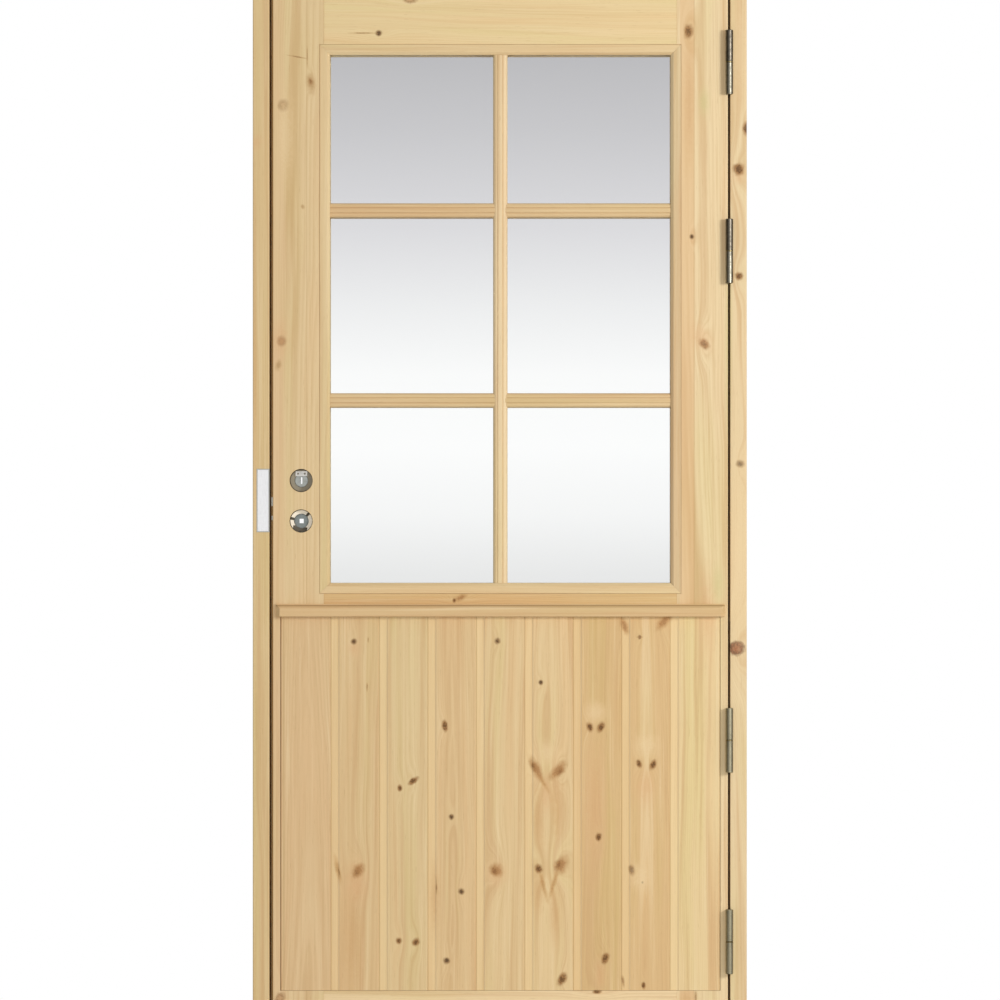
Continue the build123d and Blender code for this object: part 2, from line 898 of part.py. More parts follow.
outer_seat = outer_glass - tape_thickness
inner_seat = inner_glass + tape_thickness
for name in bead_sides():
    with BuildPart() as outer_bead:
        add(add_bead(name, front, outer_seat))
    write(outer_bead, f"outer_bead_{name}")

with BuildPart() as inner_beads:
    for name in bead_sides():
        add(add_bead(name, leaf_back, inner_seat))
write(inner_beads, "inner_beads")


# Glazing bars: an upright over the full height and cross bars scribed against it
def bar_section(plane, depth, grow=0.0, quirk_drop=bar_quirk_drop):
    """Section of a bar that stands depth off the glass along the plane's Y."""
    half = bar_width / 2 + grow
    flat = bar_flat / 2 + grow
    shoulder = bar_shoulder + grow
    rise = depth - bar_centre_rise + grow
    with BuildSketch(plane) as section:
        with BuildLine():
            Polyline((-half, shoulder), (-half, 0), (half, 0), (half, shoulder))
            TangentArc((half, shoulder), (flat + bar_quirk, rise), tangent=(0, 1))
            Polyline(
                (flat + bar_quirk, rise),
                (flat, rise - quirk_drop),
                (flat, depth + grow),
                (-flat, depth + grow),
                (-flat, rise - quirk_drop),
                (-flat - bar_quirk, rise),
            )
            TangentArc((-half, shoulder), (-flat - bar_quirk, rise), tangent=(0, 1))
        make_face()
    return section.sketch


def upright_plane(glass, outward, height):
    """Plane across the upright bar whose Y points away from the glass."""
    return Plane(origin=(leaf_centre, glass, height), x_dir=(outward, 0, 0), z_dir=(0, 0, 1))


def add_upright(glass, outward):
    """The upright bar, from the bottom bead to the top one."""
    section = bar_section(upright_plane(glass, outward, sight_bottom + glazing_fit), upright_depth)
    extrude(section, amount=sight_top - sight_bottom - 2 * glazing_fit)


def cross_bars(glass, outward):
    """Four cross bars that reach from the beads to the upright, scribed over its moulding."""
    reach = sight_width / 2 - glazing_fit
    with BuildPart(mode=Mode.PRIVATE) as bars:
        for height in (lower_bar_height, upper_bar_height):
            start = Plane(
                origin=(leaf_centre - reach, glass, height),
                x_dir=(0, 0, -outward),
                z_dir=(1, 0, 0),
            )
            extrude(bar_section(start, cross_depth), amount=2 * reach)
            scribe = upright_plane(glass, outward, height - bar_width)
            scribing = bar_section(scribe, upright_depth, cope_clearance, quirk_drop=0.0)
            extrude(scribing, amount=2 * bar_width, mode=Mode.SUBTRACT)
    return bars.part


with BuildPart() as outer_upright_bar:
    add_upright(outer_glass, -1)
write(outer_upright_bar, "outer_upright_bar")

with BuildPart() as outer_cross_bars:
    add(cross_bars(outer_glass, -1))
write(outer_cross_bars, "outer_cross_bars")

with BuildPart() as inner_bars:
    add_upright(inner_glass, 1)
    add(cross_bars(inner_glass, 1))
write(inner_bars, "inner_bars")


# Mortise lock: a hollow case behind a forend, with its two hubs and three bolts
with BuildPart() as lock_case:
    half = case_thickness / 2
    block((case_front, leaf_middle - half, case_low), (case_back, leaf_middle + half, case_high))
    block(
        (case_front, leaf_middle - half + case_wall, case_low + case_wall),
        (case_back - case_wall, leaf_middle + half - case_wall, case_high - case_wall),
        Mode.SUBTRACT,
    )
    for height, radius in ((follower_height, hub_radius), (driver_height, driver_radius)):
        rod(
            (lock_x, leaf_middle - half, height),
            (0, 1, 0),
            radius + hub_play,
            case_thickness,
            Mode.SUBTRACT,
        )
write(lock_case, "lock_case")


def bolt_sizes():
    """Height and tallness of each piece that runs through the forend."""
    return (
        (latch_height, latch_tall),
        (driver_height, dead_bolt_tall),
        (trigger_height, trigger_tall),
    )


with BuildPart() as lock_forend:
    with BuildSketch(Plane.YZ.offset(leaf_left)):
        with Locations((leaf_middle, lock_height)):
            RectangleRounded(forend_width, forend_length, forend_corner)
        for height, tall in bolt_sizes():
            with Locations((leaf_middle, height)):
                Rectangle(bolt_thickness + 2 * bolt_play, tall + 2 * bolt_play, mode=Mode.SUBTRACT)
    extrude(amount=forend_thickness)
    for height in forend_screws:
        screw_hole((leaf_left, leaf_middle, height), (1, 0, 0))
write(lock_forend, "lock_forend")

with BuildPart() as leaf_screws:
    for height in hinge_heights:
        for screw_height in hinge_screw_heights(height):
            screw((leaf_right, front + plate_screw_setback, screw_height), (-1, 0, 0))
    for height in forend_screws:
        screw((leaf_left, leaf_middle, height), (1, 0, 0))
write(leaf_screws, "leaf_screws")

latch_tip = leaf_left - latch_nose
latch_end = latch_tip + latch_body
with BuildPart() as latch_bolt:
    half = bolt_thickness / 2
    with BuildSketch(Plane.XY.offset(latch_height - latch_tall / 2)):
        with BuildLine():
            Polyline(
                (latch_tip, leaf_middle - half),
                (latch_tip, leaf_middle - half + latch_flat),
                (latch_tip + latch_bevel, leaf_middle + half),
                (latch_end, leaf_middle + half),
                (latch_end, leaf_middle - half),
                close=True,
            )
        make_face()
    extrude(amount=latch_tall)
    block(
        (latch_end - latch_tail, leaf_middle - half, latch_height - latch_tall / 2 - latch_tail_drop),
        (latch_end, leaf_middle + half, latch_height - latch_tall / 2),
    )
write(latch_bolt, "latch_bolt")

with BuildPart() as dead_bolt:
    half = bolt_thickness / 2
    tip = leaf_left + dead_bolt_setback
    block(
        (tip, leaf_middle - half, driver_height - dead_bolt_tall / 2),
        (tip + dead_bolt_body, leaf_middle + half, driver_height + dead_bolt_tall / 2),
    )
    chamfer(dead_bolt.edges().group_by(Axis.X)[0], bolt_ease)
write(dead_bolt, "dead_bolt")

with BuildPart() as trigger_pin:
    half = bolt_thickness / 2
    tip = leaf_left - trigger_nose
    block(
        (tip, leaf_middle - half, trigger_height - trigger_tall / 2),
        (tip + trigger_body, leaf_middle + half, trigger_height + trigger_tall / 2),
    )
    chamfer(trigger_pin.edges().group_by(Axis.X)[0], bolt_ease)
write(trigger_pin, "trigger_pin")

hub_half = case_thickness / 2 + hub_proud
with BuildPart() as follower:
    rod((lock_x, leaf_middle - hub_half, follower_height), (0, 1, 0), hub_radius, 2 * hub_half)
    lean = Plane(origin=(lock_x, leaf_middle, follower_height)).rotated((0, arm_lean, 0))
    with BuildSketch(lean):
        Rectangle(arm_width, bolt_thickness)
    extrude(amount=arm_reach)
    with BuildSketch(Plane.XZ.offset(-leaf_middle)):
        with Locations((lock_x, follower_height)):
            RegularPolygon(hub_radius - face_inset, 8, rotation=22.5)
    extrude(amount=hub_half + face_rise, both=True)
    deep = hub_half + face_rise
    block(
        (lock_x - spindle_size / 2, leaf_middle - deep, follower_height - spindle_size / 2),
        (lock_x + spindle_size / 2, leaf_middle + deep, follower_height + spindle_size / 2),
        Mode.SUBTRACT,
    )
write(follower, "follower")

with BuildPart() as bolt_driver:
    rod((lock_x, leaf_middle - hub_half, driver_height), (0, 1, 0), driver_radius, 2 * hub_half)
    deep = hub_half + face_rise
    rod((lock_x, leaf_middle - deep, driver_height), (0, 1, 0), driver_radius - face_inset, 2 * deep)
    block(
        (lock_x - slot_width / 2, leaf_middle - deep, driver_height - slot_length / 2),
        (lock_x + slot_width / 2, leaf_middle + deep, driver_height + slot_length / 2),
        Mode.SUBTRACT,
    )
write(bolt_driver, "bolt_driver")


# Guides seated on both sides of the case, inside the face holes
def add_guide(height, hole, rise, outward, notches):
    """A collar round a hub, cut through where its clips and its mouth are."""
    seat = leaf_middle + outward * case_thickness / 2
    way = (0, outward, 0)
    rod((lock_x, seat, height), way, guide_radius, rise)
    rod((lock_x, seat, height), way, hole, rise, Mode.SUBTRACT)
    for turn, width in notches:
        slot = Plane(origin=(lock_x, seat, height), x_dir=(1, 0, 0), z_dir=way)
        with BuildSketch(slot) as notch:
            with PolarLocations(guide_radius, 1, start_angle=-outward * turn):
                Rectangle(guide_radius, width)
        extrude(notch.sketch, amount=rise, mode=Mode.SUBTRACT)


with BuildPart() as case_guides:
    for outward in (-1, 1):
        clips = ((45, guide_notch), (165, guide_notch), (-100, guide_mouth))
        add_guide(follower_height, hub_radius + guide_gap, handle_guide_rise, outward, clips)
        add_guide(driver_height, driver_radius + guide_gap, cylinder_guide_rise, outward, ())
write(case_guides, "case_guides")

with BuildPart() as driver_plates:
    for outward in (-1, 1):
        seat = leaf_middle + outward * (case_thickness / 2 + cylinder_guide_rise)
        near, far = sorted((seat, seat + outward * driver_plate_thick))
        middle = driver_height + driver_plate_offset
        block(
            (lock_x - driver_plate_width / 2, near, middle - driver_plate_tall / 2),
            (lock_x + driver_plate_width / 2, far, middle + driver_plate_tall / 2),
        )
        for spread in (-driver_plate_spread, driver_plate_spread):
            rod(
                (lock_x + spread, seat, middle),
                (0, outward, 0),
                driver_plate_hole,
                driver_plate_thick,
                Mode.SUBTRACT,
            )
write(driver_plates, "driver_plates")
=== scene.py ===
from math import cos, pi, radians, sin

import bpy
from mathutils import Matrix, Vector


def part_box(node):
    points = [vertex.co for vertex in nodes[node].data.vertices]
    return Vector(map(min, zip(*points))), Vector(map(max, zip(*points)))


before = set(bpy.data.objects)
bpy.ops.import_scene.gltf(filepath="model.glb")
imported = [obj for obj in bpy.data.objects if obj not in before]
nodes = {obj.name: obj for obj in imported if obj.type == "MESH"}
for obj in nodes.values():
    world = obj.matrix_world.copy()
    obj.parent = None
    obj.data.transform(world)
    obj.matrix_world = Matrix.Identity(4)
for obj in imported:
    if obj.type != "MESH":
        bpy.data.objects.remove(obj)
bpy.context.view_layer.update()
millimetres = 1000.0
print("stage: frame loaded")


# A colour given in 0 to 255, as linear light
def tone(red, green, blue):
    def linear(channel):
        share = channel / 255
        return share / 12.92 if share <= 0.04045 else ((share + 0.055) / 1.055) ** 2.4
    return (linear(red), linear(green), linear(blue), 1.0)


# A small helper that adds nodes to a tree and links or sets their inputs
class Graph:
    def __init__(self, tree):
        self.tree = tree

    def add(self, kind, inputs=None, **settings):
        made = self.tree.nodes.new(kind)
        for name, value in settings.items():
            setattr(made, name, value)
        for key, value in (inputs or {}).items():
            if isinstance(value, bpy.types.NodeSocket):
                self.tree.links.new(value, made.inputs[key])
            else:
                made.inputs[key].default_value = value
        return made

    def calc(self, operation, *values, clamp=False):
        made = self.add("ShaderNodeMath", dict(enumerate(values)), operation=operation, use_clamp=clamp)
        return made.outputs[0]

    def total(self, first, *others):
        for other in others:
            first = self.calc("ADD", first, other)
        return first

    def smooth(self, value, low, high, start=0.0, end=1.0):
        inputs = {"Value": value, "From Min": low, "From Max": high, "To Min": start, "To Max": end}
        made = self.add("ShaderNodeMapRange", inputs, interpolation_type="SMOOTHSTEP")
        return made.outputs[0]

    def point(self, x, y, z):
        return self.add("ShaderNodeCombineXYZ", {0: x, 1: y, 2: z}).outputs[0]

    def noise(self, vector, scale=1.0, detail=2.0, roughness=0.5):
        inputs = {"Vector": vector, "Scale": scale, "Detail": detail, "Roughness": roughness}
        return self.add("ShaderNodeTexNoise", inputs).outputs[0]

    def mix(self, factor, first, second, blend="MIX"):
        made = self.add(
            "ShaderNodeMix", {0: factor, 6: first, 7: second}, data_type="RGBA", blend_type=blend
        )
        return made.outputs[2]

    def group(self, tree, inputs):
        return self.add("ShaderNodeGroup", inputs, node_tree=tree).outputs[0]

    def ramp(self, value, stops):
        made = self.add("ShaderNodeValToRGB", {0: value})
        elements = made.color_ramp.elements
        while len(elements) < len(stops):
            elements.new(0.5)
        for element, (place, colour) in zip(elements, stops):
            element.position = place
            element.color = colour
        return made.outputs[0]

    def bump(self, height, strength, distance):
        made = self.add("ShaderNodeBump", {"Height": height, "Strength": strength, "Distance": distance})
        return made.outputs[0]


def startMaterial(name):
    material = bpy.data.materials.new(name)
    material.use_nodes = True
    material.node_tree.nodes.clear()
    graph = Graph(material.node_tree)
    place = graph.add("ShaderNodeTexCoord").outputs["Object"]
    return material, graph, place


# Takes up a finished material again, so that a second tint can be laid over its base colour
def reopenMaterial(material):
    graph = Graph(material.node_tree)
    shader = next(node for node in material.node_tree.nodes if node.type == "BSDF_PRINCIPLED")
    plain = shader.inputs["Base Color"].links[0].from_socket
    place = graph.add("ShaderNodeTexCoord").outputs["Object"]
    axes = graph.add("ShaderNodeSeparateXYZ", {0: place}).outputs
    return graph, shader, plain, axes


def newGroup(name, inputs, outputs):
    tree = bpy.data.node_groups.new(name, "ShaderNodeTree")
    for label, kind in inputs:
        tree.interface.new_socket(label, in_out="INPUT", socket_type=kind)
    for label, kind in outputs:
        tree.interface.new_socket(label, in_out="OUTPUT", socket_type=kind)
    graph = Graph(tree)
    entry = graph.add("NodeGroupInput").outputs
    leave = graph.add("NodeGroupOutput").inputs
    return tree, graph, entry, leave


number = "NodeSocketFloat"
colourSocket = "NodeSocketColor"
# How far a knot pushes the rings aside, in its own radii, and how drawn out along the grain
pushShape = {"reach": 1.9, "squash": 0.36}
# Where a spot turns from its middle tone to its rim tone, in its own radii
spotShade = {"middle": 0.2, "rim": 0.9}


# Each knot adds a bell-shaped push to the distance from the heart line
def makePushGroup():
    labels = ["Across", "Along", "Knot Across", "Knot Along", "Radius", "Push"]
    tree, graph, entry, leave = newGroup(
        "grain push", [(label, number) for label in labels], [("Push", number)]
    )
    across = graph.calc("SUBTRACT", entry["Across"], entry["Knot Across"])
    along = graph.calc("SUBTRACT", entry["Along"], entry["Knot Along"])
    along = graph.calc("MULTIPLY", along, pushShape["squash"])
    square = graph.total(graph.calc("MULTIPLY", across, across), graph.calc("MULTIPLY", along, along))
    reach = graph.calc("MULTIPLY", entry["Radius"], pushShape["reach"])
    fall = graph.calc("DIVIDE", square, graph.calc("MULTIPLY", reach, reach))
    swell = graph.calc("MULTIPLY", graph.calc("EXPONENT", graph.calc("MULTIPLY", fall, -1.0)), reach)
    tree.links.new(graph.calc("ADD", entry["Push"], swell), leave["Push"])
    return tree


# A spot is a soft ellipse, turned by its lean, with a rough edge
def makeSpotGroup():
    labels = ["X", "Z", "Rough", "Speck", "Spot X", "Spot Z", "Radius", "Ratio"]
    labels += ["Cosine", "Sine", "Soft", "Strength"]
    sockets = [("Colour", colourSocket), ("Middle", colourSocket), ("Rim", colourSocket)]
    sockets += [(label, number) for label in labels]
    tree, graph, entry, leave = newGroup("wood spot", sockets, [("Colour", colourSocket)])
    right = graph.calc("SUBTRACT", entry["X"], entry["Spot X"])
    rise = graph.calc("SUBTRACT", entry["Z"], entry["Spot Z"])
    width = graph.calc(
        "SUBTRACT",
        graph.calc("MULTIPLY", right, entry["Cosine"]),
        graph.calc("MULTIPLY", rise, entry["Sine"]),
    )
    length = graph.total(
        graph.calc("MULTIPLY", right, entry["Sine"]), graph.calc("MULTIPLY", rise, entry["Cosine"])
    )
    length = graph.calc("DIVIDE", length, entry["Ratio"])
    square = graph.total(graph.calc("MULTIPLY", width, width), graph.calc("MULTIPLY", length, length))
    away = graph.calc("DIVIDE", graph.calc("SQRT", square), entry["Radius"])
    away = graph.calc("ADD", away, entry["Rough"])
    inner = graph.calc("SUBTRACT", 1.0, entry["Soft"])
    outer = graph.calc("ADD", 1.0, entry["Soft"])
    cover = graph.calc("MULTIPLY", graph.smooth(away, outer, inner), entry["Strength"])
    mottled = graph.calc("ADD", away, entry["Speck"])
    shade = graph.smooth(mottled, spotShade["middle"], spotShade["rim"])
    body = graph.mix(shade, entry["Middle"], entry["Rim"])
    tree.links.new(graph.mix(cover, entry["Colour"], body), leave["Colour"])
    return tree


pushGroup = makePushGroup()
spotGroup = makeSpotGroup()

# Kinds of knot and stain: tone of the middle and the rim, softness of the edge and strength
kinds = {
    "pin": {"middle": tone(74, 48, 24), "rim": tone(138, 102, 62), "soft": 0.5, "strength": 0.92},
    "sound": {"middle": tone(190, 148, 104), "rim": tone(152, 110, 68), "soft": 0.45, "strength": 0.8},
    "horn": {"middle": tone(166, 118, 70), "rim": tone(186, 140, 88), "soft": 0.6, "strength": 0.85},
    "wing": {"middle": tone(136, 92, 50), "rim": tone(168, 122, 72), "soft": 0.7, "strength": 0.75},
    "eye": {"middle": tone(104, 68, 32), "rim": tone(160, 116, 68), "soft": 0.46, "strength": 0.95},
    "red": {"middle": tone(152, 86, 52), "rim": tone(104, 58, 32), "soft": 0.24, "strength": 0.95},
    "vee": {"middle": tone(182, 136, 80), "rim": tone(198, 152, 96), "soft": 0.75, "strength": 0.7},
    "band": {"middle": tone(202, 156, 104), "rim": tone(208, 164, 112), "soft": 0.9, "strength": 0.45},
    "halo": {"middle": tone(232, 204, 158), "rim": tone(228, 198, 150), "soft": 0.7, "strength": 0.6},
    "tick": {"middle": tone(158, 118, 74), "rim": tone(186, 148, 100), "soft": 0.5, "strength": 0.8},
    "blush": {"middle": tone(218, 168, 122), "rim": tone(222, 178, 132), "soft": 0.8, "strength": 0.36},
    "stain": {"middle": tone(178, 140, 92), "rim": tone(196, 160, 112), "soft": 0.6, "strength": 0.7},
    "dusk": {"middle": tone(170, 128, 80), "rim": tone(146, 106, 62), "soft": 0.5, "strength": 0.85},
    "green": {"middle": tone(206, 192, 136), "rim": tone(212, 196, 142), "soft": 0.8, "strength": 0.6},
}
# Spots of the outer face: kind, x and z in millimetres, radius across, stretch and lean in degrees
spots = [
    ("dusk", -390, 1756, 8.5, 1.15, 10),
    ("stain", -340, 1796, 8.0, 2.2, -6),
    ("wing", -341, 1799, 3.6, 1.4, -8),
    ("tick", -347, 1844, 1.0, 18.0, 0),
    ("stain", -355, 1573, 4.0, 0.8, 60),
    ("dusk", -393, 1331, 7.5, 1.15, 0),
    ("blush", -396, 1333, 15.0, 2.2, 8),
    ("stain", -399, 1288, 5.0, 1.8, 10),
    ("sound", -396, 147, 8.0, 1.3, 20),
    ("blush", -439, 1688, 9.0, 1.4, 20),
    ("pin", -218, 1886, 5.0, 1.0, 0),
    ("tick", -248, 1886, 1.2, 18.0, 90),
    ("tick", -364, 1843, 1.3, 12.0, 100),
    ("sound", -161, 1948, 8.0, 1.4, 90),
    ("eye", 340, 1889, 7.5, 1.6, 8),
    ("band", 341, 1760, 8.0, 12.0, 0),
    ("pin", 346, 1519, 4.0, 1.1, 0),
    ("eye", 368, 1326, 7.0, 1.5, -38),
    ("blush", 362, 1338, 16.0, 1.4, -30),
    ("green", 368, 1762, 9.0, 2.5, 0),
    ("green", 391, 892, 10.0, 3.0, 0),
    ("eye", 444, 1714, 6.0, 1.9, 0),
    ("blush", 430, 1628, 10.0, 1.2, 0),
    ("eye", 430, 1641, 9.5, 1.1, 0),
    ("eye", 431, 1448, 7.0, 1.0, 0),
    ("pin", 433, 1110, 7.0, 0.9, 0),
    ("red", 427, 778, 13.5, 0.95, 0),
    ("horn", -70, 869, 5.0, 2.0, 62),
    ("eye", -82, 864, 3.4, 1.2, 0),
    ("blush", -262, 778, 9.0, 1.4, 0),
    ("pin", -263, 790, 4.6, 1.1, 0),
    ("tick", -239, 708, 1.6, 4.5, 0),
    ("tick", -237, 793, 1.2, 4.5, 0),
    ("eye", -99, 638, 5.0, 2.0, -8),
    ("pin", -4, 791, 4.6, 1.2, 0),
    ("pin", 74, 716, 3.9, 1.1, 0),
    ("halo", 172, 662, 18.0, 1.0, 0),
    ("blush", 170, 500, 22.0, 5.5, 0),
    ("eye", 162, 636, 5.6, 1.5, -18),
    ("eye", 182, 636, 5.8, 1.6, 22),
    ("pin", 252, 798, 2.6, 1.5, 0),
    ("tick", 252, 798, 1.0, 6.0, 90),
    ("horn", 296, 826, 7.0, 2.4, 42),
    ("horn", 225, 818, 6.0, 2.2, -18),
    ("eye", -180, 526, 4.4, 1.2, 0),
    ("eye", -156, 539, 5.0, 2.0, 55),
    ("pin", -87, 474, 4.3, 1.1, 0),
    ("pin", -69, 340, 5.0, 1.1, 0),
    ("band", -262, 250, 13.0, 8.0, 0),
    ("blush", -256, 352, 20.0, 1.6, 0),
    ("vee", -292, 380, 4.0, 5.0, -12),
    ("tick", -289, 374, 1.6, 6.0, -14),
    ("horn", -254, 378, 8.5, 1.4, 35),
    ("wing", -258, 374, 5.4, 1.6, 22),
    ("eye", -182, 251, 5.0, 1.2, -20),
    ("eye", -151, 249, 6.0, 1.2, 20),
    ("pin", -96, 215, 5.5, 1.0, 0),
    ("blush", -7, 372, 18.0, 1.1, 0),
    ("horn", -6, 378, 10.0, 1.2, -20),
    ("wing", -10, 377, 5.6, 1.5, -24),
    ("blush", 84, 520, 14.0, 2.4, 0),
    ("halo", 86, 590, 16.0, 1.2, 0),
    ("band", 70, 470, 9.0, 6.0, -3),
    ("band", 106, 480, 7.0, 7.0, 3),
    ("vee", 76, 540, 3.0, 7.0, -30),
    ("band", 99, 520, 6.0, 8.0, 0),
    ("horn", 66, 560, 7.5, 2.7, -26),
    ("horn", 105, 558, 8.0, 2.5, 42),
    ("wing", 60, 566, 4.6, 2.0, -24),
    ("wing", 109, 556, 4.6, 1.9, 44),
    ("halo", 264, 602, 20.0, 1.1, 0),
    ("blush", 262, 530, 20.0, 1.6, 0),
    ("eye", 251, 570, 4.6, 1.6, -15),
    ("eye", 276, 568, 5.0, 1.9, 25),
    ("eye", 178, 438, 5.2, 1.4, 5),
    ("eye", 238, 378, 5.4, 1.7, -10),
    ("band", 68, 345, 9.0, 4.0, 0),
    ("band", 100, 300, 9.0, 5.0, 0),
    ("vee", 78, 352, 3.4, 7.6, -14),
    ("vee", 97, 354, 3.4, 7.6, 16),
    ("eye", 70, 381, 6.5, 1.2, -20),
    ("horn", 111, 387, 10.0, 1.6, 28),
    ("wing", 106, 388, 6.0, 1.6, 24),
    ("blush", 182, 190, 9.0, 3.0, 0),
    ("eye", 190, 219, 6.2, 1.6, 24),
    ("eye", 112, 182, 7.0, 1.7, 30),
    ("tick", 222, 178, 2.8, 3.4, -8),
    ("eye", 259, 170, 3.6, 1.8, -8),
    ("eye", 175, 159, 8.0, 0.42, 0),
    ("band", 336, 147, 12.0, 1.1, 0),
    ("tick", 353, 147, 2.0, 7.0, 0),
    ("pin", 257, 356, 1.8, 1.2, 0),
    ("halo", 255, 366, 18.0, 1.4, 0),
    ("band", -118, 330, 7.0, 7.5, 0),
    ("tick", -114, 348, 1.4, 9.0, 0),
    ("halo", 436, 955, 22.0, 7.0, 0),
    ("blush", 374, 845, 14.0, 5.0, 0),
    ("green", 412, 1340, 5.0, 30.0, 0),
    ("halo", 436, 1850, 22.0, 4.0, 0),
    ("halo", -386, 1700, 14.0, 6.0, 0),
]
pushing = ("pin", "sound", "eye", "horn", "wing", "red")
spotMargin = 12.0


def spotsOn(low, high):
    left, right = low.x * millimetres - spotMargin, high.x * millimetres + spotMargin
    foot, head = low.z * millimetres - spotMargin, high.z * millimetres + spotMargin
    return [spot for spot in spots if left < spot[1] < right and foot < spot[2] < head]


# Pine: growth rings round a heart line, bent by each knot, under streaks and fine fibres.
# The grain is upright or level. With turn it follows the members of a mitred frame, or runs level
# outside the half width given. Pink and green are tints that the wood's colour is multiplied by.
pineDefaults = {
    "grain": "upright", "heart": (140.0, 60.0), "spacing": 3.4, "taper": 0.012, "wander": 7.0,
    "early": tone(226, 200, 153), "late": tone(203, 168, 116), "streak": tone(205, 166, 118),
    "pale": tone(236, 212, 168), "duct": tone(172, 132, 84), "contrast": 0.36, "streaks": 0.68,
    "pink": (1.0, 0.94, 0.91, 1.0), "green": (0.955, 0.99, 0.9, 1.0),
    "seed": 0.0, "spots": True, "bands": (), "pitch": None, "turn": None, "knotDepth": None,
}
# Noise of the wood: how fast it changes across, into and along the board, in cycles a millimetre,
# with its octaves and roughness
grainNoises = {
    "slow": ((0.011, 0.011, 0.0021), 2.0, 0.5),
    "vary": ((0.05, 0.01, 0.0018), 2.0, 0.5),
    "broken": ((0.5, 0.3, 0.008), 2.0, 0.6),
    "broad": ((0.085, 0.02, 0.0012), 3.0, 0.6),
    "middle": ((0.22, 0.1, 0.004), 2.0, 0.6),
    "drift": ((0.03, 0.03, 0.0016), 2.0, 0.5),
    "fibre": ((0.9, 0.9, 0.02), 3.0, 0.65),
    "ducts": ((1.1, 1.1, 0.045), 1.0, 0.4),
}
# Layers over the rings: noise, where it starts and is full, how much and which tone of the wood
woodLayers = [
    ("broad", 0.45, 0.72, "streaks", "streak"),
    ("broad", 0.44, 0.26, 0.55, "pale"),
    ("middle", 0.5, 0.8, 0.3, "late"),
    ("middle", 0.46, 0.2, 0.4, "pale"),
    ("drift", 0.5, 0.72, 0.8, "pink"),
    ("drift", 0.5, 0.28, 0.8, "green"),
    ("fibre", 0.5, 0.85, 0.2, "late"),
    ("ducts", 0.68, 0.78, 0.28, "duct"),
]
# A ring darkens slowly and ends sharply, and the rings lie closer in some years
ringShape = {"rise": (0.15, 0.86), "fall": (1.0, 0.82), "pace": 5.0, "paceScale": 0.045}
# How far apart in the noise two seeds and two boards of one node lie, and how their heart lines vary
seedStep = 37.0
boardStep = 91.7
alongStep = 13.0
boardOffset = 46.0
driftShift = 400.0
# Ragged edge and mottling of the spots, by noise over the face of the wood
spotRough = {"across": 0.13, "along": 0.1, "amount": 0.9}
spotSpeck = {"across": 0.34, "along": 0.3, "amount": 1.9}
woodGloss = {"roughness": 0.52, "specular": 0.32, "bump": 0.25, "relief": 0.0002}


